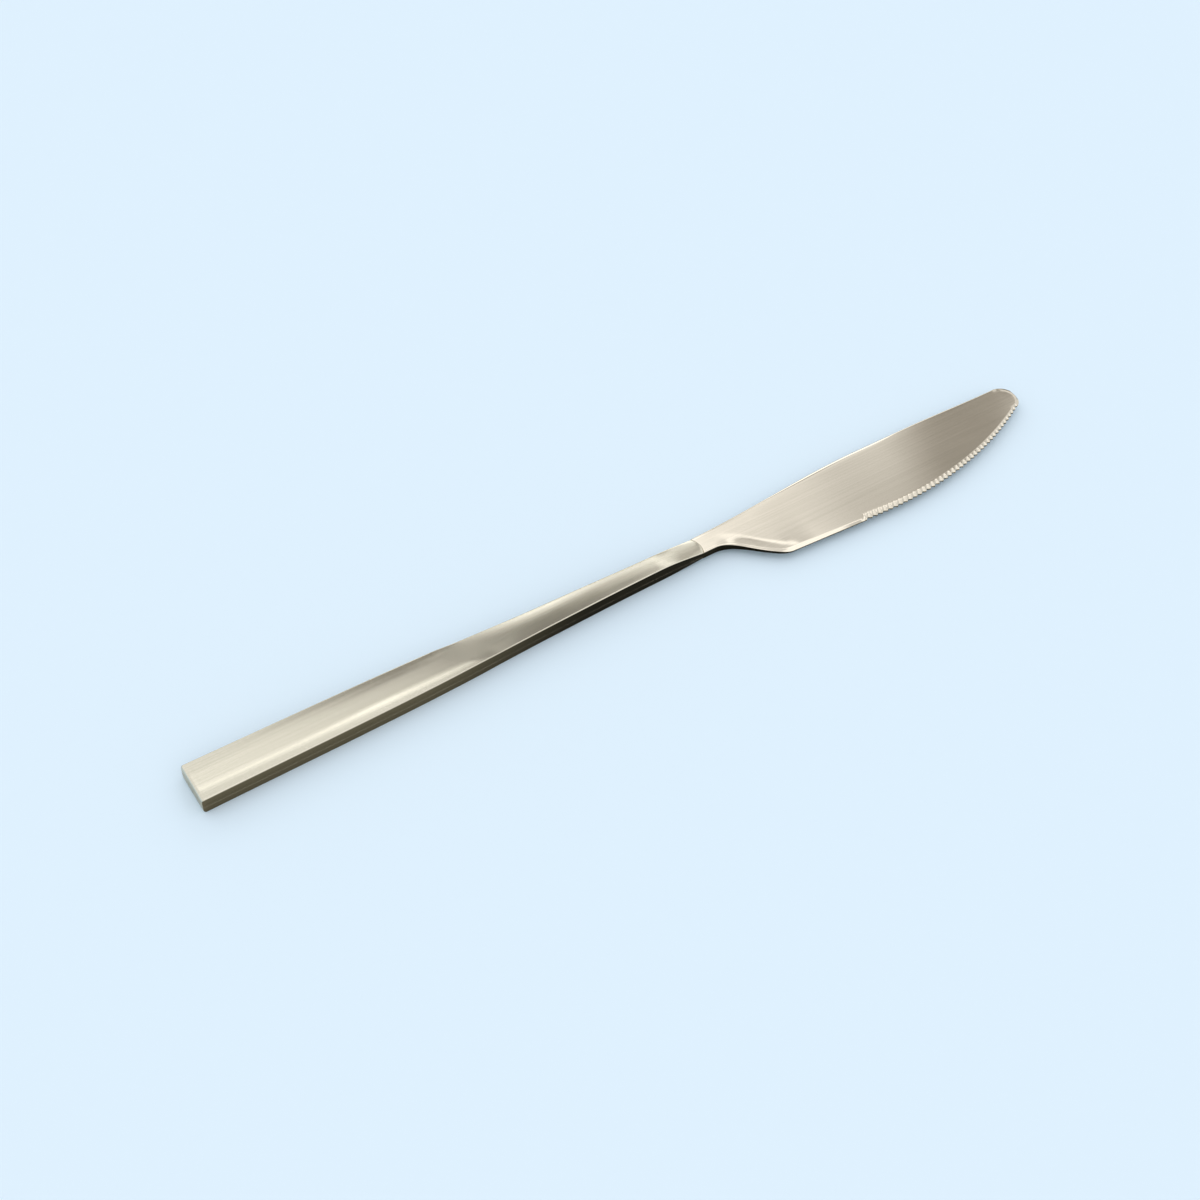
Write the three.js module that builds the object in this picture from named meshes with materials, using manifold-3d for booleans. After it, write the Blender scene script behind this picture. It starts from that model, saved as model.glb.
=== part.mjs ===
// Table knife: a thin serrated blade whose tang is cemented into a slim handle of two welded half shells.
// Millimetres. +X runs from the butt to the tip, +Y towards the spine, +Z up from the lower broad face.
// The origin lies on the handle's lower broad face, on its centre line, halfway along the handle.

import * as THREE from 'three';
import { mergeVertices } from 'three/addons/utils/BufferGeometryUtils.js';
import Module from 'manifold-3d';

const wasm = await Module();
wasm.setup();

// Handle seen from above: four stretches from the butt to the mouth, and the width where each begins
const gripLength = 52;
const shoulderLength = 31;
const stemLength = 30;
const rampLength = 11.5;
const buttWidth = 9.9;
const gripWidth = 8.7;
const stemWidth = 6.2;
const neckWidth = 4.6;
const mouthWidth = 4.8;

// Handle seen from the side
const handleThickness = 4.2;
const mouthThickness = 2.1;
const landInset = 0.2;
const buttCrown = 0.4;
const stemCrown = 0.05;
const crownFade = 20;
const buttRound = 0.6;

// Pressed half shells and the weld between them
const wall = 0.8;
const mouthWall = 0.4;
const innerRound = 1.0;
const weldDepth = 0.4;
const weldGap = 0.05;

// Tang and the cement around it
const tangLength = 56;
const tangEndWidth = 1.6;
const notchPitch = 12;
const notchLength = 3;
const notchDepth = 0.35;
const fitGap = 0.1;
const cementSide = 0.1;
const cementSetback = 10;

// Blade seen from above, from the mouth of the handle to the tip
const bladeLength = 105.5;
const spineHeight = 5.9;
const spineRiseStart = -3.5;
const spineRiseLength = 49;
const spineFallLength = 31;
const tipHeight = 5.3;
const tipRadius = 4.4;
const edgeDepth = 13.9;
const bellyRadius = 118;
const bellyLength = 60;
const heelAt = 18.5;
const choilAt = 2.5;
const choilEase = 2.5;
const choilSlope = 0.7;
const choilReach = 8.5;

// Blade section: thickness at the spine, at the bevel and at the edge
const spineThickness = 1.8;
const tipThickness = 1.0;
const bevelThickness = 0.9;
const edgeThickness = 0.3;
const spineRound = 0.25;
const bolsterLength = 16;
const bevelWidth = 1.2;

// Teeth along the front of the edge, ground from the upper side
const teethAt = 40.5;
const toothPitch = 1.6;
const toothDepth = 0.45;
const valleyThickness = 0.1;
const toothBand = 1.8;
const tipBand = 1.0;

// Finishes
const steelColour = 0xcdc4b2;
const steelRoughness = 0.32;
const weldColour = 0xb8afa0;
const weldRoughness = 0.45;
const cementColour = 0x8d8274;
const cementRoughness = 0.9;

// Flat steps that each stretch is drawn with
const crownSteps = 3;
const gripSteps = 3;
const shoulderSteps = 6;
const stemSteps = 4;
const rampSteps = 6;
const choilSteps = 9;
const straightSteps = 5;
const tipSteps = 6;

// Points of a mesh closer than this are one point
const mergeDistance = 1e-4;

// Stations along the knife, measured from the butt
const shoulderAt = gripLength;
const stemAt = shoulderAt + shoulderLength;
const neckAt = stemAt + stemLength;
const mouthAt = neckAt + rampLength;
const heelX = mouthAt + heelAt;
const choilX = mouthAt + choilAt;
const teethX = mouthAt + teethAt;
const tipX = mouthAt + bladeLength;
const bellyX = tipX - bellyLength;

const { smoothstep, lerp, inverseLerp, clamp } = THREE.MathUtils;

// Even steps from one value to another, both ends included
function steps(from, to, count) {
  return Array.from({ length: count + 1 }, (_, i) => lerp(from, to, i / count));
}

// Handle form

const handleKnots = [0, shoulderAt, stemAt, neckAt, mouthAt];
const handleWidths = [buttWidth, gripWidth, stemWidth, neckWidth, mouthWidth];
const widthCurve = new THREE.CubicInterpolant(handleKnots, handleWidths, 1, [0]);

function handleHalfWidth(x) {
  return widthCurve.evaluate(x)[0] / 2;
}

// 0 along the handle, 1 at its mouth
function ramp(x) {
  return smoothstep(x, neckAt, mouthAt);
}

function handleHalfThickness(x) {
  const full = lerp(handleThickness, mouthThickness, ramp(x)) / 2;
  return full - Math.max(0, buttRound - x);
}

// A flat land runs down the middle of each broad face, which falls away from it to the narrow sides
const landHalfWidth = neckWidth / 2 - landInset;
const fadeStart = shoulderAt - crownFade / 2;
const fadeEnd = shoulderAt + crownFade;

function crown(x) {
  return lerp(buttCrown, stemCrown, smoothstep(x, fadeStart, fadeEnd));
}

// The tang passes the mouth with a close fit, and the neck with cement on both sides of it
const tangThickness = mouthThickness - 2 * (mouthWall + fitGap);
const tangWidth = neckWidth - 2 * (wall + fitGap + cementSide + fitGap);

function cavityHalfWidth(x) {
  const inside = handleHalfWidth(Math.min(x, neckAt)) - wall;
  return lerp(inside, tangWidth / 2 + fitGap, ramp(x));
}

function cavityHalfThickness(x) {
  return lerp(handleThickness / 2 - wall, mouthThickness / 2 - mouthWall, ramp(x));
}

// Solids

// Closes the space between two sheets of points, each given as rows of equal length
function solidBetween(front, back) {
  const rows = front.length;
  const columns = front[0].length;
  const points = [...front, ...back].flat();
  const onFront = (i, j) => i * columns + j;
  const onBack = (i, j) => (rows + i) * columns + j;
  const quads = [];
  for (let i = 0; i < rows - 1; i++) {
    for (let j = 0; j < columns - 1; j++) {
      quads.push([onFront(i, j), onFront(i + 1, j), onFront(i + 1, j + 1), onFront(i, j + 1)]);
      quads.push([onBack(i, j), onBack(i, j + 1), onBack(i + 1, j + 1), onBack(i + 1, j)]);
    }
    const last = columns - 1;
    quads.push([onFront(i, 0), onBack(i, 0), onBack(i + 1, 0), onFront(i + 1, 0)]);
    quads.push([onFront(i, last), onFront(i + 1, last), onBack(i + 1, last), onBack(i, last)]);
  }
  for (let j = 0; j < columns - 1; j++) {
    const last = rows - 1;
    quads.push([onFront(0, j), onFront(0, j + 1), onBack(0, j + 1), onBack(0, j)]);
    quads.push([onFront(last, j), onBack(last, j), onBack(last, j + 1), onFront(last, j + 1)]);
  }
  return closedGeometry(points, quads);
}

// Splits quads into triangles, leaves out those with no area, and turns the faces outwards
function closedGeometry(points, quads) {
  const geometry = new THREE.BufferGeometry().setFromPoints(points);
  geometry.setIndex(quads.flatMap(([a, b, c, d]) => [a, b, c, a, c, d]));
  const merged = mergeVertices(geometry, mergeDistance);
  const index = merged.getIndex().array;
  const position = merged.getAttribute('position');
  const corner = i => new THREE.Vector3().fromBufferAttribute(position, i);
  const kept = [];
  let volume = 0;
  for (let i = 0; i < index.length; i += 3) {
    const [a, b, c] = [index[i], index[i + 1], index[i + 2]];
    if (a === b || b === c || c === a) continue;
    kept.push(a, b, c);
    volume += corner(a).dot(corner(b).cross(corner(c)));
  }
  merged.setIndex(volume < 0 ? kept.reverse() : kept);
  return merged;
}

// The first solid with the space of the second taken out
function cut(geometry, tool) {
  const toManifold = ({ index, attributes }) => new wasm.Manifold(new wasm.Mesh({
    numProp: 3,
    vertProperties: new Float32Array(attributes.position.array),
    triVerts: new Uint32Array(index.array),
  }));
  const mesh = toManifold(geometry).subtract(toManifold(tool)).getMesh();
  const result = new THREE.BufferGeometry();
  result.setAttribute('position', new THREE.BufferAttribute(mesh.vertProperties, 3));
  result.setIndex(new THREE.BufferAttribute(mesh.triVerts, 1));
  return result;
}

const point = (x, y, z) => new THREE.Vector3(x, y, z);

// A row of points for one half, and its mirror image across the knife's centre line
function mirrored(half) {
  const other = half.map(({ x, y, z }) => point(x, -y, z)).reverse();
  return [...half, ...other];
}

// Half shells: the upper one is drawn, and the lower one is its mirror image

function shellOutside(x, up) {
  const halfWidth = handleHalfWidth(x);
  const top = handleHalfThickness(x);
  const atButt = x === 0;
  const lipY = atButt ? -halfWidth : weldDepth - halfWidth;
  const lipZ = atButt ? weldDepth : 0;
  const half = [point(x, lipY, lipZ * up), point(x, -halfWidth, weldDepth * up)];
  for (const t of steps(1, 0, crownSteps)) {
    const y = -lerp(landHalfWidth, halfWidth, t);
    half.push(point(x, y, (top - crown(x) * t * t) * up));
  }
  return mirrored(half);
}

// The hollow opens from the end wall at the butt to its full height over the inner round
function shellInside(x, up) {
  const halfWidth = cavityHalfWidth(x);
  const floor = x === 0 ? weldDepth : 0;
  const opened = clamp((x - wall) / innerRound, 0, 1);
  const top = lerp(floor, cavityHalfThickness(x), opened);
  const half = [point(x, -halfWidth, floor * up), point(x, -halfWidth, (floor + top) / 2 * up)];
  for (const t of steps(1, 0, crownSteps)) {
    const y = -halfWidth * lerp(landHalfWidth / handleHalfWidth(x), 1, t);
    half.push(point(x, y, top * up));
  }
  return mirrored(half);
}

const shellStations = [...new Set([
  0, weldDepth, buttRound, wall,
  ...steps(wall + innerRound, fadeStart, gripSteps),
  ...steps(fadeStart, fadeEnd, shoulderSteps),
  ...steps(fadeEnd, neckAt, stemSteps),
  ...steps(neckAt, mouthAt, rampSteps),
])].sort((a, b) => a - b);

function halfShell(up) {
  const outside = shellStations.map(x => shellOutside(x, up));
  const inside = shellStations.map(x => shellInside(x, up));
  return solidBetween(outside, inside);
}

// Weld: a three-sided bead in the groove between the shells, along one side, round the butt and back

const beadDepth = weldDepth - weldGap * Math.SQRT2;

function beadEdges(x, y) {
  return [point(x, y, beadDepth), point(x, y, -beadDepth)];
}

function beadRoot(x, y) {
  return [point(x, y, 0), point(x, y, 0)];
}

function seamWeld() {
  const alongSide = shellStations.filter(x => x >= weldDepth);
  const nearSide = [...alongSide].reverse().map(x => [x, -1]);
  const corners = [[0, -1], [0, 1]];
  const farSide = alongSide.map(x => [x, 1]);
  const path = [...nearSide, ...corners, ...farSide];
  const face = path.map(([x, side]) => beadEdges(x, side * handleHalfWidth(x)));
  const root = path.map(([x, side]) => {
    return beadRoot(Math.max(x, beadDepth), side * (handleHalfWidth(x) - beadDepth));
  });
  return solidBetween(face, root);
}

// Tang: flat, tapered and notched on both edges, so that the cement keys into it

const tangEndX = mouthAt - tangLength;
const notchCount = Math.floor((tangLength - cementSetback - notchLength) / notchPitch);

// Stations of the tang and its half width there
function tangOutline() {
  const plain = x => lerp(tangEndWidth, tangWidth, inverseLerp(tangEndX, mouthAt, x)) / 2;
  const outline = [[tangEndX, plain(tangEndX)]];
  for (let i = 1; i <= notchCount; i++) {
    const start = tangEndX + i * notchPitch - notchLength / 2;
    const end = start + notchLength;
    outline.push([start, plain(start)]);
    outline.push([start + notchDepth, plain(start) - notchDepth]);
    outline.push([end - notchDepth, plain(end) - notchDepth]);
    outline.push([end, plain(end)]);
  }
  outline.push([mouthAt, plain(mouthAt)]);
  return outline;
}

// Cement: fills the shells round the tang, behind the mouth

function slab(outline, halfThickness) {
  const sheet = up => outline.map(([x, y]) => {
    const z = halfThickness(x) * up;
    return [point(x, -y, z), point(x, y, z)];
  });
  return solidBetween(sheet(1), sheet(-1));
}

function tangCement() {
  const start = wall + innerRound + fitGap;
  const end = mouthAt - cementSetback;
  const stations = [
    start,
    ...shellStations.filter(x => x > start && x < end),
    end,
  ];
  const outline = stations.map(x => [x, cavityHalfWidth(x) - fitGap]);
  const fill = slab(outline, x => cavityHalfThickness(x) - fitGap);
  const tang = tangOutline();
  const slotOutline = [
    [tangEndX - fitGap, tang[0][1] + fitGap],
    ...tang.map(([x, y]) => [x, y + fitGap]),
  ];
  const slot = slab(slotOutline, () => tangThickness / 2 + fitGap);
  return cut(fill, slot);
}

// Blade outline

const tipCentre = new THREE.Vector2(tipX - tipRadius, tipHeight - tipRadius);
const bellyCentreY = bellyRadius - edgeDepth;
const bellyCentreX = tipCentre.x - Math.sqrt(
  (bellyRadius - tipRadius) ** 2 - (bellyCentreY - tipCentre.y) ** 2,
);
const bellyCentre = new THREE.Vector2(bellyCentreX, bellyCentreY);
const bellyEnd = tipCentre.clone().sub(bellyCentre).setLength(bellyRadius).add(bellyCentre);

function bellyY(x) {
  return bellyCentre.y - Math.sqrt(bellyRadius ** 2 - (x - bellyCentre.x) ** 2);
}

function bellySlope(x) {
  return (x - bellyCentre.x) / (bellyCentre.y - bellyY(x));
}

// Half height of the round tip at a station on it
function tipChord(x) {
  return Math.sqrt(Math.max(0, tipRadius ** 2 - (x - tipCentre.x) ** 2));
}

// The straight edge leaves the belly along its tangent and ends at the heel
const heelY = bellyY(bellyX) - bellySlope(bellyX) * (bellyX - heelX);

// The choil sweeps from the neck down to the heel
const choilCurve = new THREE.CubicBezierCurve(
  new THREE.Vector2(choilX, -mouthWidth / 2),
  new THREE.Vector2(choilX + choilEase, -mouthWidth / 2),
  new THREE.Vector2(heelX - choilReach, heelY + choilReach * choilSlope),
  new THREE.Vector2(heelX, heelY),
);
const choilPoints = choilCurve.getPoints(choilSteps);

function spineY(x) {
  if (x > tipCentre.x) return tipCentre.y + tipChord(x);
  const riseStart = mouthAt + spineRiseStart;
  const rise = smoothstep(x, riseStart, riseStart + spineRiseLength);
  const fall = smoothstep(x, tipCentre.x - spineFallLength, tipCentre.x);
  return lerp(mouthWidth / 2, spineHeight, rise) - (spineHeight - tipHeight) * fall;
}

function edgeY(x) {
  if (x > bellyEnd.x) return tipCentre.y - tipChord(x);
  if (x > bellyX) return bellyY(x);
  if (x > heelX) return lerp(heelY, bellyY(bellyX), inverseLerp(heelX, bellyX, x));
  return -mouthWidth / 2;
}

// Blade section

function spineHalfThickness(x) {
  const blade = lerp(spineThickness, tipThickness, inverseLerp(heelX, tipX, x));
  return lerp(mouthThickness, blade, smoothstep(x, mouthAt, mouthAt + bolsterLength)) / 2;
}

// How far the blade has thinned from the bolster's even section to its wedge
function wedge(x) {
  return smoothstep(x, choilX, heelX);
}

function bandWidth(x) {
  if (x < teethX) return bevelWidth * wedge(x);
  return lerp(toothBand, tipBand, inverseLerp(teethX, tipX, x));
}

// One row of the blade's upper or lower face, from the edge to the spine; the round tip thins to the edge,
// and there the bevel and the spine's rounding leave a third of the height between them
function bladeRow(x, edge, up, valley) {
  const spine = Math.max(spineY(x), edge);
  const height = spine - edge;
  const third = height / 3;
  const edgeHalf = edgeThickness / 2;
  const body = smoothstep(height, 0, tipRadius);
  const thick = lerp(edgeHalf, spineHalfThickness(x), body);
  const round = spineRound * body;
  const atBevel = lerp(thick, Math.min(thick, bevelThickness / 2), wedge(x));
  const atEdge = lerp(thick - round, edgeHalf, wedge(x));
  const bevelY = edge + Math.min(lerp(round, bandWidth(x), wedge(x)), third);
  const roundY = spine - Math.min(round, third);
  const lipY = valley ? edge + toothDepth : edge;
  const lipZ = valley && up > 0 ? valleyThickness - edgeHalf : atEdge * up;
  return [
    point(x, lipY, lipZ),
    point(x, bevelY, atBevel * up),
    point(x, (bevelY + roundY) / 2, (atBevel + thick) / 2 * up),
    point(x, roundY, thick * up),
    point(x, spine, (thick - round) * up),
  ];
}

// Stations of the blade: x, the edge there, and whether it is the valley between two teeth
function bladeStations() {
  const stations = [[mouthAt, edgeY(mouthAt), false]];
  for (const { x, y } of choilPoints) stations.push([x, y, false]);
  for (const x of steps(heelX, teethX, straightSteps).slice(1)) stations.push([x, edgeY(x), false]);
  let x = teethX;
  let valley = true;
  const nextStation = () => x + toothPitch / 2 / Math.hypot(1, bellySlope(x));
  while (nextStation() < bellyEnd.x) {
    x = nextStation();
    stations.push([x, edgeY(x), valley]);
    valley = !valley;
  }
  const tipStart = Math.asin((bellyEnd.x - tipCentre.x) / tipRadius);
  for (const angle of steps(tipStart, Math.PI / 2, tipSteps)) {
    const tip = tipCentre.x + tipRadius * Math.sin(angle);
    stations.push([tip, edgeY(tip), false]);
  }
  return stations;
}

// A row of the tang has as many points as a row of the blade
function tangRow(x, halfWidth, up) {
  const z = tangThickness / 2 * up;
  const columns = bladeRow(mouthAt, edgeY(mouthAt), up, false).length;
  return steps(-halfWidth, halfWidth, columns - 1).map(y => point(x, y, z));
}

function blade() {
  const face = up => [
    ...tangOutline().map(([x, y]) => tangRow(x, y, up)),
    ...bladeStations().map(([x, edge, valley]) => bladeRow(x, edge, up, valley)),
  ];
  return solidBetween(face(1), face(-1));
}

// Assembly

function steel(color, roughness) {
  return new THREE.MeshStandardMaterial({ color, roughness, metalness: 1 });
}

function part(name, geometry, material) {
  const mesh = new THREE.Mesh(geometry, material);
  mesh.name = name;
  return mesh;
}

const cement = new THREE.MeshStandardMaterial({
  color: cementColour,
  roughness: cementRoughness,
  metalness: 0,
});

const knife = new THREE.Group();
knife.add(
  part('blade', blade(), steel(steelColour, steelRoughness)),
  part('handle_shell_upper', halfShell(1), steel(steelColour, steelRoughness)),
  part('handle_shell_lower', halfShell(-1), steel(steelColour, steelRoughness)),
  part('seam_weld', seamWeld(), steel(weldColour, weldRoughness)),
  part('tang_cement', tangCement(), cement),
);
knife.position.set(-mouthAt / 2, 0, handleThickness / 2);

export default knife;
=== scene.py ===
# Table knife: the looks of a thin serrated blade that is cemented into a slim brushed steel handle.
# Sizes are in millimetres, with x from the butt and z from the knife's mid-plane, and become metres last.
# A pair of places is a stretch along x over which a form sets in or runs out.

import math

import bmesh
import bpy
import numpy as np
from mathutils import Matrix, Vector


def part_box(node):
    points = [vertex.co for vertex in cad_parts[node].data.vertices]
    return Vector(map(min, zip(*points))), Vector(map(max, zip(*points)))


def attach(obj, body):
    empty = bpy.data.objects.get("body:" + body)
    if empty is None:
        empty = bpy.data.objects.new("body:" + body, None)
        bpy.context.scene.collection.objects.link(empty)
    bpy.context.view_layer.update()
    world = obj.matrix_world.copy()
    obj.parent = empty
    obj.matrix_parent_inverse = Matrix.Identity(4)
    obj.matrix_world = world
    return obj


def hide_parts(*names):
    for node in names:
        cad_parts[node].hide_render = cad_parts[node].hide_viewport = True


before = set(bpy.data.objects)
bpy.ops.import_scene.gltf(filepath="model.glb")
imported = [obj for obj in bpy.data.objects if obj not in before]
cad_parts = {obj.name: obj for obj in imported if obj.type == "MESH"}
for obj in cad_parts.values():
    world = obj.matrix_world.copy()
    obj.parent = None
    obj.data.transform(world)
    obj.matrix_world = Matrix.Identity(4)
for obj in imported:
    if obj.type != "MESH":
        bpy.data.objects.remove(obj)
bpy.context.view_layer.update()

MM = 0.001

# Places taken from the frame
shell_low, shell_high = (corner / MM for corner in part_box("handle_shell_upper"))
blade_low, blade_high = (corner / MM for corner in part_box("blade"))
knife_origin = Vector((shell_low.x, 0, shell_low.z))
mouth_at = shell_high.x - shell_low.x
handle_thickness = 2 * (shell_high.z - shell_low.z)
butt_width = shell_high.y - shell_low.y
tip_at = blade_high.x - shell_low.x
edge_depth = -blade_low.y
spine_height = blade_high.y

# Handle seen from above
shoulder_at = 52
stem_at = 83
neck_at = 113
grip_width = 8.7
stem_width = 6.2
neck_width = 4.6
mouth_width = 4.8
corner_round = 0.5
far_step = 0.3
far_step_start = (55, 62)
far_step_end = (70, 100)
far_flare = 0.2

# Handle seen from the side
mouth_thickness = 2.1
ramp_at = 111.5
ramp_ease = 7
crown_start = 1.2
crown_blend = 3.2
crown_slope = 0.13
crown_end = 58.9
stem_start = 65.3
crown_slant = 1.05
stem_bow = 0.09
stem_lean = 0.34
lower_crown = 0.2
butt_round = 0.7
side_round = 0.25
lower_side_round = 0.12
mouth_roll = 0.05
mouth_roll_length = 0.9
mouth_bulge = 0.7
mouth_bulge_fade = 7

# Half shells and the weld between them
wall = 0.8
mouth_wall = 0.4
inner_round = 1.0
weld_depth = 0.4
weld_gap = 0.02

# Tang
tang_length = 56
tang_end_width = 1.6
notch_pitch = 12
notch_length = 3
notch_depth = 0.35
fit_gap = 0.1
cement_side = 0.1
cement_setback = 10

# Blade seen from above
spine_rise_start = mouth_at - 5.5
spine_rise_end = spine_rise_start + 59
spine_fall_length = 31
tip_height = 5.3
tip_radius = 4.1
belly_radius = 118
belly_length = 60
heel_at = mouth_at + 17.6
heel_round = 1.1
choil_at = mouth_at + 3.1
choil_ease = 5.3
choil_slope = 0.516
choil_reach = 6.2
choil_end = 0.93

# Blade section
spine_thickness = 1.8
tip_thickness = 1.0
edge_plane = 0.84
edge_thickness = 0.3
bolster_length = 16
wedge_start = (choil_at + 4, heel_at + 9)
rim_width = 0.4
rim_drop = 0.12
choil_rim_width = 0.9
choil_rim_drop = 0.17
choil_rim_start = (choil_at + 1, choil_at + 6)
choil_roll = 0.55
choil_roll_width = 3.9
choil_roll_start = (choil_at, choil_at + 9)
choil_roll_end = (heel_at, heel_at + 6)
bevel_width = 1.1
bevel_end = 0.55
bevel_start = (heel_at - 3, heel_at + 3)
spine_bevel = 1.1
spine_bevel_start = (heel_at, heel_at + 26)
spine_bevel_end = (183, 193)
spine_drop = 0.25
spine_least = edge_thickness / 4
tip_bevel = 0.9
tip_fall = 0.4
tip_fall_start = (tip_at - tip_radius - 1, tip_at - tip_radius + 2)

# Teeth
teeth_at = mouth_at + 40.5
tooth_pitch = 1.6
tooth_depth = 0.5
valley_thickness = 0.1
tooth_land = 0.25
tooth_band = 1.8
tip_band = 1.0
tooth_slant = math.radians(25)

# Camera, fitted to the photograph's frame of 1200 pixels
camera_place = (-102.09, -165.17, 242.18)
camera_yaw = math.radians(39.63)
camera_pitch = math.radians(48.42)
camera_roll = math.radians(6.3)
frame_pixels = 1200
focal_pixels = 1448.1
sensor_width = 36


# Small tools

def mix(a, b, share):
    return a + (b - a) * share


def smooth_step(x, start, end):
    share = np.clip((x - start) / (end - start), 0, 1)
    return share * share * (3 - 2 * share)


def quarter_round(distance, radius):
    """How far a quarter round of that radius cuts in, at a distance from the end it rounds."""
    left = np.clip(1 - distance / radius, 0, 1)
    return radius * (1 - np.sqrt(1 - left * left))


def curve_through(knots, values):
    """A smooth curve through the values, whose slope at a knot is the mean of its two neighbours'."""
    knots = np.array(knots, float)
    values = np.array(values, float)
    chords = np.diff(values) / np.diff(knots)
    inner = (chords[1:] + chords[:-1]) / 2
    slopes = np.concatenate([chords[:1], inner, chords[-1:]])

    def at(x):
        i = int(np.clip(np.searchsorted(knots, x, side="right") - 1, 0, len(chords) - 1))
        span = knots[i + 1] - knots[i]
        t = (x - knots[i]) / span
        rise = values[i + 1] - values[i]
        bend = (1 - t) * (slopes[i] * span - rise) - t * (slopes[i + 1] * span - rise)
        return values[i] + rise * t + t * (1 - t) * bend

    return at


def stations(*stretches):
    """Places along the knife: each stretch is (start, end, steps), and shared ends count once."""
    places = np.concatenate([np.linspace(start, end, steps + 1) for start, end, steps in stretches])
    return np.unique(places.round(6))


# Handle form

handle_width = curve_through(
    (0, shoulder_at, stem_at, neck_at, mouth_at),
    (butt_width, grip_width, stem_width, neck_width, mouth_width),
)


def mouth_ramp(x):
    """How far the handle has thinned towards its mouth: an eased start, then a straight slope."""
    run = np.clip(x, ramp_at, mouth_at) - ramp_at
    eased = min(run, ramp_ease)
    fall = eased ** 2 / (2 * ramp_ease) + run - eased
    return fall / (mouth_at - ramp_at - ramp_ease / 2)


def half_width(x, side):
    """From the middle to a narrow side; the far side steps in past the grip and flares at the mouth."""
    half = handle_width(x) / 2 - quarter_round(x, corner_round)
    if side > 0:
        half -= far_step * (smooth_step(x, *far_step_start) - smooth_step(x, *far_step_end))
        half += far_flare * mouth_ramp(x)
    return half


def half_thickness(x):
    """From the mid-plane to a broad face; the faces round over at the butt and roll down at the mouth."""
    full = mix(handle_thickness, mouth_thickness, mouth_ramp(x)) / 2
    roll = mouth_roll * max(0, 1 - (mouth_at - x) / mouth_roll_length) ** 2
    return full - quarter_round(x, butt_round) - roll


def crown(x, y, up):
    """How far a broad face has fallen at y: crowned along the grip, and slightly bowed along the stem."""
    out = abs(y)
    stem = smooth_step(x + crown_slant * y, crown_end, stem_start)
    turn = np.clip((out - crown_start) / crown_blend, 0, 1)
    fall = crown_blend * (turn ** 3 - turn ** 4 / 2) + max(0, out - crown_start - crown_blend)
    slope = crown_slope if up > 0 else crown_slope * lower_crown
    bow = stem_bow * (2 * y / handle_width(x) - stem_lean) ** 2
    return mix(slope * fall, bow, stem)


tang_thickness = mouth_thickness - 2 * (mouth_wall + fit_gap)
tang_width = neck_width - 2 * (wall + fit_gap + cement_side + fit_gap)


def cavity_half_width(x):
    inside = handle_width(min(x, neck_at)) / 2 - wall
    return mix(inside, tang_width / 2 + fit_gap, mouth_ramp(x))


def cavity_half_thickness(x):
    return mix(handle_thickness / 2 - wall, mouth_thickness / 2 - mouth_wall, mouth_ramp(x))


# Solids

merge_distance = 1e-8
sharp_angle = math.radians(32)


def bulge(points):
    """Bends the joint between handle and bolster into an arc that is convex towards the blade."""
    x, y = points[:, 0], points[:, 1]
    across = np.clip(1 - (2 * y / mouth_width) ** 2, 0, 1)
    along = 1 - smooth_step(np.abs(x - mouth_at), 0, mouth_bulge_fade)
    bent = points.copy()
    bent[:, 0] += mouth_bulge * (across - 0.5) * along
    return bent


def add_piece(name, points, faces, girth):
    """A closed mesh piece in the frame, with a UV map that runs along the knife and round it."""
    placed = (bulge(points) + np.array(knife_origin)) * MM
    mesh = bpy.data.meshes.new(name)
    mesh.from_pydata(placed.tolist(), [], faces)
    along = mesh.uv_layers.new(name="along")
    for loop in mesh.loops:
        v = loop.vertex_index
        along.data[loop.index].uv = (placed[v][0], girth[v] * MM)
    work = bmesh.new()
    work.from_mesh(mesh)
    bmesh.ops.remove_doubles(work, verts=work.verts, dist=merge_distance)
    bmesh.ops.dissolve_degenerate(work, edges=work.edges, dist=merge_distance)
    bmesh.ops.recalc_face_normals(work, faces=work.faces)
    work.to_mesh(mesh)
    work.free()
    mesh.shade_smooth()
    mesh.set_sharp_from_angle(angle=sharp_angle)
    piece = bpy.data.objects.new(name, mesh)
    bpy.context.scene.collection.objects.link(piece)
    return piece


def solid_between(name, front, back):
    """Closes the space between two sheets of points, given as arrays of rows, columns and x, y, z."""
    rows, columns, _ = front.shape
    points = np.concatenate([front.reshape(-1, 3), back.reshape(-1, 3)])
    steps = np.linalg.norm(np.diff(front[:, :, 1:], axis=1), axis=2)
    girth = np.concatenate([np.zeros((rows, 1)), np.cumsum(steps, axis=1)], axis=1).ravel()
    half = rows * columns
    faces = []
    for i in range(rows - 1):
        for j in range(columns - 1):
            a, b = i * columns + j, (i + 1) * columns + j
            faces.append((a, b, b + 1, a + 1))
            faces.append((half + a, half + a + 1, half + b + 1, half + b))
        for j, turn in ((0, 1), (columns - 1, -1)):
            a, b = i * columns + j, (i + 1) * columns + j
            faces.append((a, half + a, half + b, b)[::turn])
    for i, turn in ((0, 1), (rows - 1, -1)):
        for j in range(columns - 1):
            a = i * columns + j
            faces.append((a, a + 1, half + a + 1, half + a)[::turn])
    return add_piece(name, points, faces, np.concatenate([girth, girth]))


# Half shells

butt_end = 3
stem_margin = 8
slant_start = crown_end - stem_margin
slant_end = stem_start + stem_margin
roll_at = mouth_at - mouth_roll_length
shell_stations = stations(
    (0, butt_round, 14),
    (butt_round, butt_end, 4),
    (butt_end, slant_start, 26),
    (slant_start, slant_end, 50),
    (slant_end, ramp_at, 26),
    (ramp_at, roll_at, 28),
    (roll_at, mouth_at, 6),
)
side_steps = 3
round_steps = 5
crown_steps = 18


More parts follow.
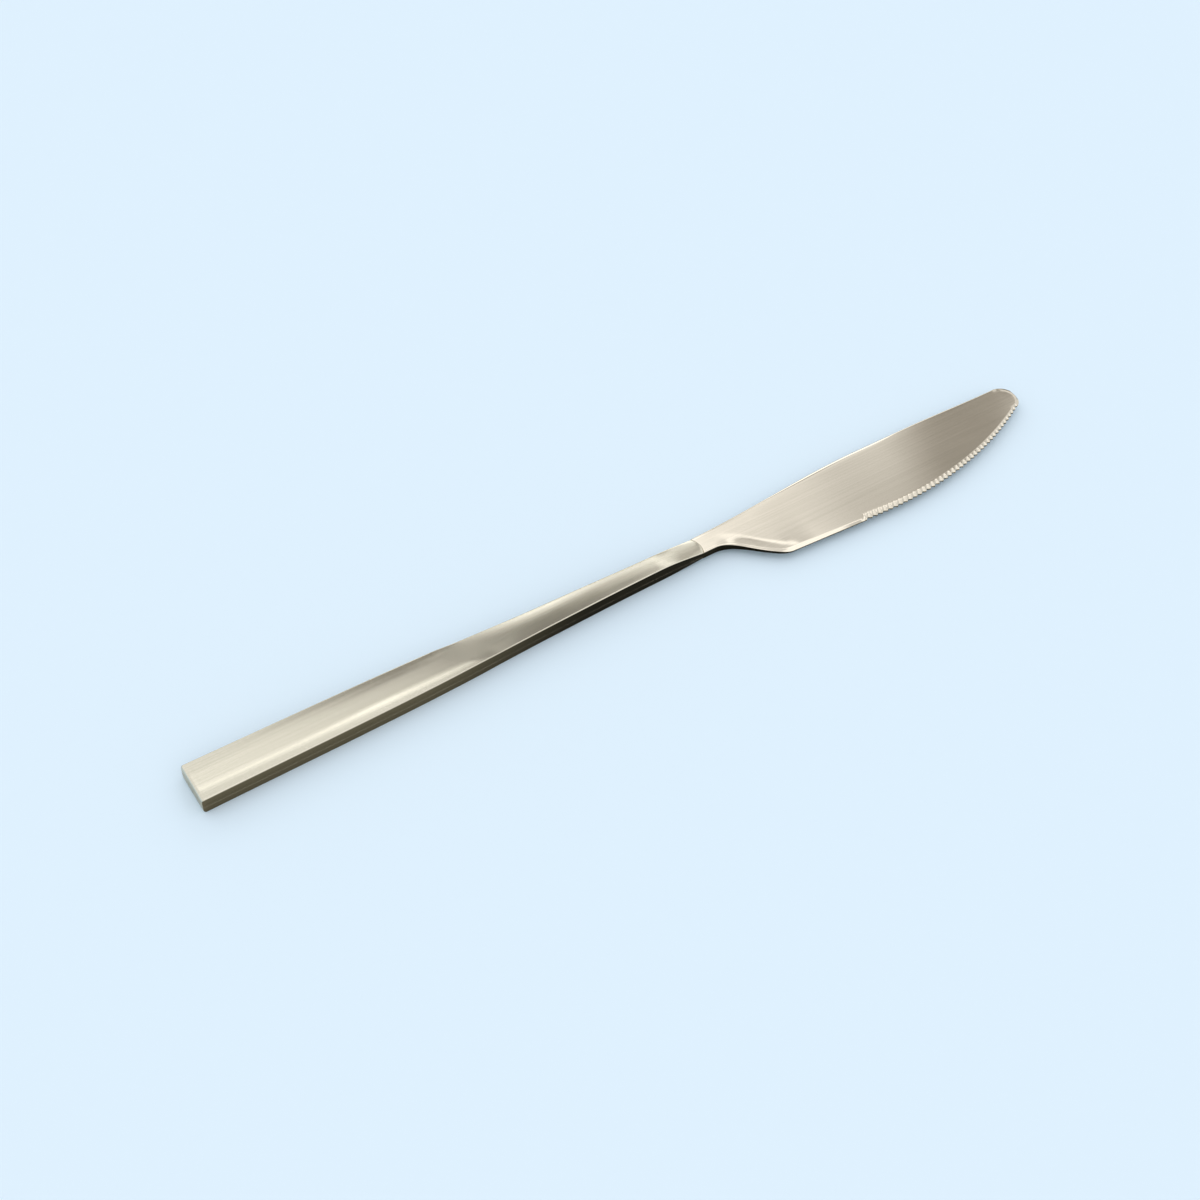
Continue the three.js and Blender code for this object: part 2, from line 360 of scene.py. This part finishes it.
def outside_half(x, side, up):
    """Half of a shell's outer section, from the weld groove up one side and over the crown to the middle."""
    width = half_width(x, side)
    top = half_thickness(x)

    def face_z(y):
        return top - crown(x, side * y, up)

    rounding = side_round if up > 0 else lower_side_round
    round_y = width - rounding
    round_z = face_z(round_y) - rounding
    slope = (face_z(round_y - rounding) - face_z(round_y)) / rounding
    groove = min(x, weld_depth)
    half = [(width - groove, weld_depth - groove)]
    half += [(width, z) for z in np.linspace(weld_depth, round_z, side_steps + 1)]
    for angle in np.linspace(0, math.pi / 2 - math.atan(slope), round_steps + 1)[1:]:
        half.append((round_y + rounding * math.cos(angle), round_z + rounding * math.sin(angle)))
    half += [(y, face_z(y)) for y in np.linspace(half[-1][0], 0, crown_steps + 1)[1:]]
    return [(side * y, z) for y, z in half]


def outside_section(x, up):
    return outside_half(x, -1, up) + outside_half(x, 1, up)[-2::-1]


def inside_section(x, count):
    """A shell's inner section, with as many points as its outer one."""
    width = cavity_half_width(x) - quarter_round(x, corner_round)
    floor = weld_depth - min(x, weld_depth)
    opened = np.clip((x - wall) / inner_round, 0, 1)
    top = mix(floor, cavity_half_thickness(x), opened)
    section = [(-width, floor), (-width, (floor + top) / 2)]
    section += [(y, top) for y in np.linspace(-width, width, count - 4)]
    section += [(width, (floor + top) / 2), (width, floor)]
    return section


def half_shell(name, up):
    outside = []
    inside = []
    for x in shell_stations:
        section = outside_section(x, up)
        outside.append([(x, y, z * up) for y, z in section])
        inside.append([(x, y, z * up) for y, z in inside_section(x, len(section))])
    return solid_between(name, np.array(outside), np.array(inside))


# Weld: a bead in the groove between the shells, ground flush, along one side, round the butt and back

def seam_weld(name):
    depth = weld_depth - weld_gap * math.sqrt(2)
    path = [(x, -1) for x in shell_stations[::-1]] + [(x, 1) for x in shell_stations]
    face = []
    root = []
    for x, side in path:
        y = side * half_width(x, side)
        inner_x = max(x, depth)
        inner_y = side * (half_width(inner_x, side) - depth)
        face.append([(x, y, depth), (x, y, -depth)])
        root.append([(inner_x, inner_y, 0), (inner_x, inner_y, 0)])
    return solid_between(name, np.array(face), np.array(root))


# Blade outline

tip_centre_x = tip_at - tip_radius
tip_centre_y = tip_height - tip_radius
belly_centre_y = belly_radius - edge_depth
belly_centre_x = tip_centre_x - math.sqrt(
    (belly_radius - tip_radius) ** 2 - (belly_centre_y - tip_centre_y) ** 2
)
belly_at = tip_at - belly_length
belly_end_x = mix(belly_centre_x, tip_centre_x, belly_radius / (belly_radius - tip_radius))


def belly_y(x):
    return belly_centre_y - math.sqrt(belly_radius ** 2 - (x - belly_centre_x) ** 2)


def belly_slope(x):
    return (x - belly_centre_x) / (belly_centre_y - belly_y(x))


def tip_chord(x):
    return math.sqrt(max(0, tip_radius ** 2 - (x - tip_centre_x) ** 2))


heel_y = belly_y(belly_at) - belly_slope(belly_at) * (belly_at - heel_at)


def choil_curve(t):
    """The sweep from the neck down to the heel."""
    neck_y = -mouth_width / 2
    corners = np.array([
        (choil_at, neck_y),
        (choil_at + choil_ease, neck_y),
        (heel_at - choil_reach, heel_y + choil_reach * choil_slope),
        (heel_at, heel_y),
    ])
    weights = np.array([(1 - t) ** 3, 3 * t * (1 - t) ** 2, 3 * t * t * (1 - t), t ** 3])
    return weights @ corners


def spine_y(x):
    if x > tip_centre_x:
        return tip_centre_y + tip_chord(x)
    rise = smooth_step(x, spine_rise_start, spine_rise_end)
    fall = smooth_step(x, tip_centre_x - spine_fall_length, tip_centre_x)
    return mix(mouth_width / 2 + far_flare, spine_height, rise) - (spine_height - tip_height) * fall


def edge_y(x):
    if x > belly_end_x:
        return tip_centre_y - tip_chord(x)
    if x > belly_at:
        return belly_y(x)
    if x > heel_at:
        return mix(heel_y, belly_y(belly_at), (x - heel_at) / (belly_at - heel_at))
    return -mouth_width / 2


def heel_corner(t):
    """The rounded heel, between the choil and the straight edge."""
    start = choil_curve(choil_end)
    corner = np.array((heel_at, heel_y))
    end = np.array((heel_at + heel_round, edge_y(heel_at + heel_round)))
    return start * (1 - t) ** 2 + corner * 2 * t * (1 - t) + end * t * t


choil_rows = 40
heel_rows = 12
choil_line = np.array(
    [choil_curve(t) for t in np.linspace(0, choil_end, choil_rows)]
    + [heel_corner(t) for t in np.linspace(0, 1, heel_rows)[1:]]
)


# Blade section

def wedge(x):
    """How far the blade has thinned from the bolster's even section to its wedge."""
    return smooth_step(x, *wedge_start)


def spine_half_thickness(x):
    blade = mix(spine_thickness, tip_thickness, (x - heel_at) / (tip_at - heel_at))
    return mix(mouth_thickness, blade, smooth_step(x, mouth_at, mouth_at + bolster_length)) / 2


def band_width(x):
    """Width of the ground band along the edge: a bevel behind the teeth, then the teeth."""
    if x < teeth_at:
        return mix(bevel_width, bevel_end, np.clip((x - heel_at) / (teeth_at - heel_at), 0, 1))
    return mix(tooth_band, tip_band, (x - teeth_at) / (tip_at - teeth_at))


def tooth_phase(x):
    """Teeth counted along the edge from the first one."""
    start = math.asin((teeth_at - belly_centre_x) / belly_radius)
    here = math.asin((x - belly_centre_x) / belly_radius)
    return (here - start) * belly_radius / tooth_pitch


def flute(phase, inward):
    """How deep a flute is, as a share: 1 in its middle at the edge, 0 on the land between two flutes."""
    across = 2 * (phase % 1) - 1
    return max(0, 1 - inward - across * across)


def rim_share(x, y):
    """What is left of the blade's thickness where its faces roll over to the choil or fall to the tip."""
    gap = np.hypot(choil_line[:, 0] - x, choil_line[:, 1] - y).min()
    here = smooth_step(x, *choil_roll_start) * (1 - smooth_step(x, *choil_roll_end))
    roll = choil_roll * here * max(0, 1 - gap / choil_roll_width) ** 2
    gap = tip_radius - math.hypot(x - tip_centre_x, y - tip_centre_y)
    here = smooth_step(x, *tip_fall_start)
    return 1 - roll - tip_fall * here * np.clip(1 - gap / tip_bevel, 0, 1)


teeth_end = belly_end_x
edge_columns = 10
face_columns = 16
face_crowding = 1.6
spine_columns = 8
tiny = 1e-6


def has_teeth(x):
    return teeth_at < x < teeth_end


def blade_row(x, edge, up):
    """One row of the upper or lower face, from the edge to the spine."""
    toothed = has_teeth(x)
    spine = max(spine_y(x), edge)
    third = (spine - edge) / 3
    body = smooth_step(spine - edge, 0, tip_radius)
    ground = smooth_step(x, *bevel_start)
    edge_half = edge_thickness / 2
    thick = mix(edge_half, spine_half_thickness(x), body)
    choil = smooth_step(x, *choil_rim_start)
    rim = mix(rim_width, choil_rim_width, choil)
    band = min(mix(rim, band_width(x), ground), third)
    foot = mix(thick, min(thick, edge_plane / 2), wedge(x))
    at_bevel = mix(foot, thick, band / max(spine - edge, tiny))
    lip_half = min(tooth_land, at_bevel) if toothed and up > 0 else edge_half
    drop = mix(rim_drop, choil_rim_drop, choil)
    at_edge = mix(max(at_bevel - drop, edge_half), lip_half, ground)
    flute_depth = at_edge + edge_half - valley_thickness

    def rolled(y, z):
        return edge_half + (z - edge_half) * rim_share(x, y)

    lip = edge
    if toothed:
        lip = min(edge + tooth_depth * flute(tooth_phase(x), 0), edge + band)
    row = []
    for y in np.linspace(lip, edge + band, edge_columns + 1)[:-1]:
        inward = (y - edge) / max(band, tiny)
        rounded = math.sqrt(inward * (2 - inward))
        z = rolled(y, mix(at_edge, at_bevel, mix(rounded, inward, choil)))
        if toothed and up > 0:
            phase = tooth_phase(x) - (y - edge) * math.tan(tooth_slant) / tooth_pitch
            z -= flute_depth * flute(phase, inward)
        row.append((x, y, z * up))
    bevel = smooth_step(x, *spine_bevel_start) - smooth_step(x, *spine_bevel_end)
    bevel = mix(rim_width, spine_bevel, bevel) * body
    round_y = spine - min(bevel, third)
    for share in np.linspace(0, 1, face_columns + 1) ** face_crowding:
        y = mix(edge + band, round_y, share)
        row.append((x, y, rolled(y, mix(at_bevel, thick, share)) * up))
    fall = min(spine_drop * body, thick - spine_least)
    for angle in np.linspace(0, math.pi / 2, spine_columns + 1)[1:]:
        y = mix(round_y, spine, math.sin(angle))
        row.append((x, y, (thick - fall * (1 - math.cos(angle))) * up))
    return row


bolster_rows = 8
plain_rows = 24
rows_per_tooth = 12
tip_rows = 24


def blade_stations():
    """Places along the blade: x and the plain edge there."""
    places = [(x, edge_y(x)) for x in np.linspace(mouth_at, choil_at, bolster_rows)[:-1]]
    places += [tuple(point) for point in choil_line]
    places += [(x, edge_y(x)) for x in np.linspace(heel_at + heel_round, teeth_at, plain_rows)[1:]]
    count = int((teeth_end - teeth_at) / tooth_pitch * rows_per_tooth)
    places += [(x, edge_y(x)) for x in np.linspace(teeth_at, teeth_end, count)[1:]]
    tip_start = math.asin((belly_end_x - tip_centre_x) / tip_radius)
    for angle in np.linspace(tip_start, math.pi / 2, tip_rows)[1:]:
        x = tip_centre_x + tip_radius * math.sin(angle)
        places.append((x, edge_y(x)))
    return places


def tang_outline():
    """Places along the notched tang and its half width there."""
    end = mouth_at - tang_length

    def plain(x):
        return mix(tang_end_width, tang_width, (x - end) / tang_length) / 2

    outline = [(end, plain(end))]
    notch_count = int((tang_length - cement_setback - notch_length) / notch_pitch)
    for i in range(notch_count):
        start = end + (i + 1) * notch_pitch - notch_length / 2
        stop = start + notch_length
        outline.append((start, plain(start)))
        outline.append((start + notch_depth, plain(start) - notch_depth))
        outline.append((stop - notch_depth, plain(stop) - notch_depth))
        outline.append((stop, plain(stop)))
    outline.append((mouth_at, plain(mouth_at)))
    return outline


def blade_sheet(up):
    rows = [blade_row(x, edge, up) for x, edge in blade_stations()]
    columns = len(rows[0])
    tang = []
    for x, width in tang_outline():
        tang.append([(x, y, tang_thickness / 2 * up) for y in np.linspace(-width, width, columns)])
    return np.array(tang + rows)


# Materials

noise_low = 0.3
noise_high = 0.7
# Painted shade: the narrow sides of the steel get a dark colour, darkest round the neck, standing in for the
# dark surroundings they would mirror
painted_side_shade = (0.17, 0.13, 0.075)
painted_neck_shade = (0.014, 0.011, 0.007)
painted_neck_shade_start = (45, 95)
painted_neck_shade_end = (140, 172)
painted_shade_upright = (0.45, 0.8)
painted_shade_facing = (0.3, 0.6)
glance_tint = (0.75, 0.7, 0.62)
brush_detail = 5
grain_cell = (0.7, 0.35, 0.35)
grain_detail = 2
cloud_cell = (14, 9, 9)
cloud_detail = 2


def material(name):
    made = bpy.data.materials.new(name)
    made.use_nodes = True
    return made, made.node_tree, made.node_tree.nodes["Principled BSDF"]


def add_node(tree, kind, **settings):
    node = tree.nodes.new(kind)
    for key, value in settings.items():
        setattr(node, key, value)
    return node


def maths(tree, operation, *values):
    node = add_node(tree, "ShaderNodeMath", operation=operation)
    for socket, value in zip(node.inputs, values):
        if isinstance(value, (int, float)):
            socket.default_value = value
        else:
            tree.links.new(value, socket)
    return node.outputs["Value"]


def soft_range(tree, value, start, end, first, last):
    """Goes smoothly from the first level to the last while the value goes from start to end."""
    node = add_node(tree, "ShaderNodeMapRange", interpolation_type="SMOOTHSTEP")
    node.inputs["From Min"].default_value = start
    node.inputs["From Max"].default_value = end
    node.inputs["To Min"].default_value = first
    node.inputs["To Max"].default_value = last
    tree.links.new(value, node.inputs["Value"])
    return node.outputs["Result"]


def stretched_noise(tree, cell, detail, seed):
    """Noise whose cells measure that many millimetres along x, y and z."""
    place = add_node(tree, "ShaderNodeTexCoord")
    mapping = add_node(tree, "ShaderNodeMapping")
    mapping.inputs["Scale"].default_value = [1 / (size * MM) for size in cell]
    mapping.inputs["Location"].default_value = (seed, seed * 2, seed * 3)
    noise = add_node(tree, "ShaderNodeTexNoise", noise_dimensions="3D")
    noise.inputs["Scale"].default_value = 1
    noise.inputs["Detail"].default_value = detail
    tree.links.new(place.outputs["Object"], mapping.inputs["Vector"])
    tree.links.new(mapping.outputs["Vector"], noise.inputs["Vector"])
    return noise.outputs["Fac"]


def spread(tree, value, low, high):
    """The middle of a noise spread over a range."""
    node = add_node(tree, "ShaderNodeMapRange")
    node.inputs["From Min"].default_value = noise_low
    node.inputs["From Max"].default_value = noise_high
    node.inputs["To Min"].default_value = low
    node.inputs["To Max"].default_value = high
    tree.links.new(value, node.inputs["Value"])
    return node.outputs["Result"]


def colours(tree, value, dark, light):
    """The middle of a noise as a run from the dark colour to the light one."""
    node = add_node(tree, "ShaderNodeValToRGB")
    node.color_ramp.elements[0].position = noise_low
    node.color_ramp.elements[1].position = noise_high
    node.color_ramp.elements[0].color = (*dark, 1)
    node.color_ramp.elements[1].color = (*light, 1)
    tree.links.new(value, node.inputs["Fac"])
    return node.outputs["Color"]


def bump(tree, shader, value, height, strength):
    node = add_node(tree, "ShaderNodeBump")
    node.inputs["Strength"].default_value = strength
    node.inputs["Distance"].default_value = height * MM
    tree.links.new(value, node.inputs["Height"])
    tree.links.new(node.outputs["Normal"], shader.inputs["Normal"])


def blend_colours(tree, share, first, last):
    node = add_node(tree, "ShaderNodeMix", data_type="RGBA")
    for socket, value in ((node.inputs[0], share), (node.inputs[6], first), (node.inputs[7], last)):
        if isinstance(value, tuple):
            socket.default_value = (*value, 1)
        else:
            tree.links.new(value, socket)
    return node.outputs[2]


def blend_levels(tree, share, first, last):
    node = add_node(tree, "ShaderNodeMix", data_type="FLOAT")
    for socket, value in ((node.inputs[0], share), (node.inputs[2], first), (node.inputs[3], last)):
        if isinstance(value, (int, float)):
            socket.default_value = value
        else:
            tree.links.new(value, socket)
    return node.outputs[0]


def paint_side_shade(tree, face):
    """The face's colour, and painted shade on the narrow sides, darkest round the neck, in place of the dark
    surroundings they would mirror.
    """
    place = add_node(tree, "ShaderNodeTexCoord")
    turned = add_node(tree, "ShaderNodeSeparateXYZ")
    tree.links.new(place.outputs["Normal"], turned.inputs["Vector"])
    upright = soft_range(tree, maths(tree, "ABSOLUTE", turned.outputs["Z"]), *painted_shade_upright, 1, 0)
    sideways = soft_range(tree, maths(tree, "ABSOLUTE", turned.outputs["Y"]), *painted_shade_facing, 0, 1)
    side = maths(tree, "MULTIPLY", upright, sideways)
    spot = add_node(tree, "ShaderNodeSeparateXYZ")
    tree.links.new(place.outputs["Object"], spot.inputs["Vector"])
    darker = soft_range(tree, spot.outputs["X"], *[(knife_origin.x + x) * MM for x in painted_neck_shade_start], 0, 1)
    lighter = soft_range(tree, spot.outputs["X"], *[(knife_origin.x + x) * MM for x in painted_neck_shade_end], 1, 0)
    along = maths(tree, "MULTIPLY", darker, lighter)
    return blend_colours(tree, side, face, blend_colours(tree, along, painted_side_shade, painted_neck_shade))


def steel(name, dark, light, brush_cell, roughness, brush_height, brush_strength, grain_share, seed):
    """Brushed steel: streaks in colour, gloss and height along the knife, a fine grain across them, and
    painted shade on the narrow sides.
    """
    made, tree, shader = material(name)
    brush = stretched_noise(tree, brush_cell, brush_detail, seed)
    grain = stretched_noise(tree, grain_cell, grain_detail, seed + 9)
    cloud = stretched_noise(tree, cloud_cell, cloud_detail, seed + 5)
    worked = blend_levels(tree, grain_share, brush, grain)
    shader.inputs["Metallic"].default_value = 1
    shader.inputs["Specular Tint"].default_value = (*glance_tint, 1)
    # The base colour carries the painted shade on the narrow sides
    tree.links.new(paint_side_shade(tree, colours(tree, worked, dark, light)), shader.inputs["Base Color"])
    tree.links.new(spread(tree, cloud, *roughness), shader.inputs["Roughness"])
    bump(tree, shader, worked, brush_height, brush_strength)
    return made


def cement():
    made, tree, shader = material("cutlers_cement")
    grain = stretched_noise(tree, cell=(0.5, 0.5, 0.5), detail=4, seed=11)
    colour = colours(tree, grain, dark=(0.22, 0.19, 0.15), light=(0.34, 0.30, 0.24))
    tree.links.new(colour, shader.inputs["Base Color"])
    tree.links.new(spread(tree, grain, low=0.8, high=0.95), shader.inputs["Roughness"])
    bump(tree, shader, grain, height=0.05, strength=0.5)
    return made


# Stage

floor_colour = (0.730, 0.871, 1.0)
floor_reach = 8000
floor_drop = 0.02


def floor():
    mesh = bpy.data.meshes.new("floor")
    r = floor_reach * MM
    z = -floor_drop * MM
    mesh.from_pydata([(-r, -r, z), (r, -r, z), (r, r, z), (-r, r, z)], [], [(0, 1, 2, 3)])
    made, tree, shader = material("floor_paper")
    shader.inputs["Base Color"].default_value = (*floor_colour, 1)
    shader.inputs["Roughness"].default_value = 1
    shader.inputs["Specular IOR Level"].default_value = 0
    mesh.materials.append(made)
    plane = bpy.data.objects.new("floor", mesh)
    bpy.context.scene.collection.objects.link(plane)


# Light tent: an even white tent, a little brighter behind the knife, with lit and dark panels hung in it.
# Directions are in degrees: the azimuth from +Y towards +X, the elevation from the floor up.
tent_level = 0.98
tent_rise = 0.2
tent_colour = (1.0, 0.99, 0.97)
shade_colour = (1.0, 0.92, 0.8)
wall_foot = 6
wall_top = 20
panels = [
    # White sheet overhead
    dict(
        azimuth=0, elevation=90, half_width=200, half_height=15,
        lean=0, side=1, edge=4, level=1.4,
    ),
    # Light along the near ridge of the grip
    dict(
        azimuth=32.5, elevation=55.7, half_width=5.9, half_height=3,
        lean=0.46, side=1.4, edge=1.3, level=3.05,
    ),
    # Light along the same ridge towards the butt
    dict(
        azimuth=17, elevation=58.8, half_width=13.5, half_height=2.5,
        lean=0.1, side=2.7, edge=1.3, level=1.7,
    ),
    # Dark on the stem and the end of the grip
    dict(
        azimuth=37, elevation=50.3, half_width=15.5, half_height=7.1,
        lean=0.45, side=2.7, edge=3.2, level=0.1,
    ),
    # Light band along the choil
    dict(
        azimuth=54.3, elevation=48.9, half_width=4, half_height=2.2,
        lean=-0.2, side=2.6, edge=1.1, level=1.6,
    ),
    # Light along the far side of the stem
    dict(
        azimuth=32.3, elevation=43.7, half_width=4.1, half_height=4,
        lean=0.45, side=4.8, edge=1, level=3.05,
    ),
    # Dark along the far side of the grip
    dict(
        azimuth=30.8, elevation=36.5, half_width=14.8, half_height=6.4,
        lean=0, side=2.9, edge=1.8, level=0.25,
    ),
    # Shade in the middle of the blade
    dict(
        azimuth=55.9, elevation=44, half_width=2.3, half_height=1.9,
        lean=0, side=1.9, edge=2.1, level=0.73,
    ),
    # Dark on the front of the blade
    dict(
        azimuth=57.2, elevation=38.2, half_width=5.8, half_height=4.5,
        lean=1.35, side=1, edge=2.3, level=0.45,
    ),
    # Shade past the end of the stem
    dict(
        azimuth=44.7, elevation=39.4, half_width=8, half_height=2,
        lean=0.2, side=2.4, edge=1.3, level=0.45,
    ),
    # Light on the bolster
    dict(
        azimuth=44.2, elevation=45.6, half_width=5.2, half_height=2.8,
        lean=0.6, side=3, edge=1.5, level=2.3,
    ),
    # Light on the ramp before the mouth
    dict(
        azimuth=48.6, elevation=40.6, half_width=5.8, half_height=4.7,
        lean=-1.15, side=3.4, edge=4.5, level=1.25,
    ),
    # Light low behind the knife
    dict(
        azimuth=33, elevation=23.4, half_width=14, half_height=8.8,
        lean=0, side=1, edge=2.3, level=2.1,
    ),
    # Dark low panel for the end of the handle
    dict(
        azimuth=53.7, elevation=31.9, half_width=2.3, half_height=6.5,
        lean=0.4, side=0.9, edge=2.2, level=0.38,
    ),
    # Shade on the teeth
    dict(
        azimuth=68.4, elevation=47.8, half_width=6.5, half_height=4,
        lean=-0.44, side=2, edge=1.7, level=0.42,
    ),
    # Light on the ground bevel
    dict(
        azimuth=86, elevation=56.5, half_width=23, half_height=8.6,
        lean=0, side=3, edge=3.2, level=1.6,
    ),
    # Shade beside the choil
    dict(
        azimuth=57, elevation=55.5, half_width=6, half_height=3.5,
        lean=0, side=2.6, edge=2, level=0.87,
    ),
]


def hang(tree, azimuth, elevation, light, panel):
    """The light of the tent with one soft-edged panel hung in front of it."""
    across = maths(tree, "SUBTRACT", azimuth, panel["azimuth"])
    height = maths(tree, "SUBTRACT", elevation, panel["elevation"])
    leaned = maths(tree, "MULTIPLY_ADD", across, -panel["lean"], height)
    cover = 1
    for place, half, soft in (
        (across, panel["half_width"], panel["side"]),
        (leaned, panel["half_height"], panel["edge"]),
    ):
        inside = soft_range(tree, maths(tree, "ABSOLUTE", place), half - soft, half + soft, 1, 0)
        cover = maths(tree, "MULTIPLY", inside, cover)
    return blend_levels(tree, cover, light, panel["level"])


def light_tent():
    world = bpy.data.worlds.new("light_tent")
    world.use_nodes = True
    tree = world.node_tree
    place = add_node(tree, "ShaderNodeTexCoord")
    parts = add_node(tree, "ShaderNodeSeparateXYZ")
    tree.links.new(place.outputs["Generated"], parts.inputs["Vector"])
    x, y, z = (parts.outputs[axis] for axis in "XYZ")
    azimuth = maths(tree, "DEGREES", maths(tree, "ARCTAN2", x, y))
    elevation = maths(tree, "DEGREES", maths(tree, "ARCSINE", z))
    light = maths(tree, "MULTIPLY_ADD", y, tent_rise, tent_level)
    for panel in panels:
        light = hang(tree, azimuth, elevation, light, panel)
    above = soft_range(tree, elevation, wall_foot, wall_top, 0, 1)
    lit = soft_range(tree, light, 0, 1, 0, 1)
    colour = blend_colours(tree, above, floor_colour, blend_colours(tree, lit, shade_colour, tent_colour))
    background = tree.nodes["Background"]
    tree.links.new(blend_levels(tree, above, 1, light), background.inputs["Strength"])
    tree.links.new(colour, background.inputs["Color"])
    bpy.context.scene.world = world


def camera():
    data = bpy.data.cameras.new("camera")
    data.sensor_width = sensor_width
    data.lens = sensor_width * focal_pixels / frame_pixels
    forward = Vector((
        math.sin(camera_yaw) * math.cos(camera_pitch),
        math.cos(camera_yaw) * math.cos(camera_pitch),
        -math.sin(camera_pitch),
    ))
    level = Vector((math.cos(camera_yaw), -math.sin(camera_yaw), 0))
    upright = level.cross(forward)
    right = level * math.cos(camera_roll) + upright * math.sin(camera_roll)
    up = upright * math.cos(camera_roll) - level * math.sin(camera_roll)
    holder = bpy.data.objects.new("camera", data)
    turn = Matrix((right, up, -forward)).transposed().to_4x4()
    holder.matrix_world = Matrix.Translation(Vector(camera_place) * MM) @ turn
    bpy.context.scene.collection.objects.link(holder)
    bpy.context.scene.camera = holder


# Assembly

def dress(piece, node, finish):
    piece.data.materials.append(finish)
    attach(piece, "root")
    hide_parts(node)


bpy.context.scene.view_settings.view_transform = "Standard"
camera()
floor()
light_tent()

handle_steel = steel(
    "handle_steel",
    dark=(0.62, 0.60, 0.505),
    light=(0.70, 0.668, 0.575),
    brush_cell=(45, 0.35, 0.35),
    roughness=(0.15, 0.18),
    brush_height=0.012,
    brush_strength=0.22,
    grain_share=0.35,
    seed=1,
)
blade_steel = steel(
    "blade_steel",
    dark=(0.63, 0.59, 0.505),
    light=(0.70, 0.65, 0.565),
    brush_cell=(60, 0.4, 0.4),
    roughness=(0.07, 0.09),
    brush_height=0.006,
    brush_strength=0.08,
    grain_share=0.2,
    seed=2,
)
weld_steel = steel(
    "weld_steel",
    dark=(0.61, 0.585, 0.495),
    light=(0.69, 0.655, 0.56),
    brush_cell=(20, 0.3, 0.3),
    roughness=(0.2, 0.28),
    brush_height=0.01,
    brush_strength=0.25,
    grain_share=0.3,
    seed=3,
)

dress(half_shell("handle_upper", 1), "handle_shell_upper", handle_steel)
dress(half_shell("handle_lower", -1), "handle_shell_lower", handle_steel)
dress(seam_weld("handle_weld"), "seam_weld", weld_steel)
dress(solid_between("knife_blade", blade_sheet(1), blade_sheet(-1)), "blade", blade_steel)

cement_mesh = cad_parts["tang_cement"].data
cement_mesh.materials.clear()
cement_mesh.materials.append(cement())
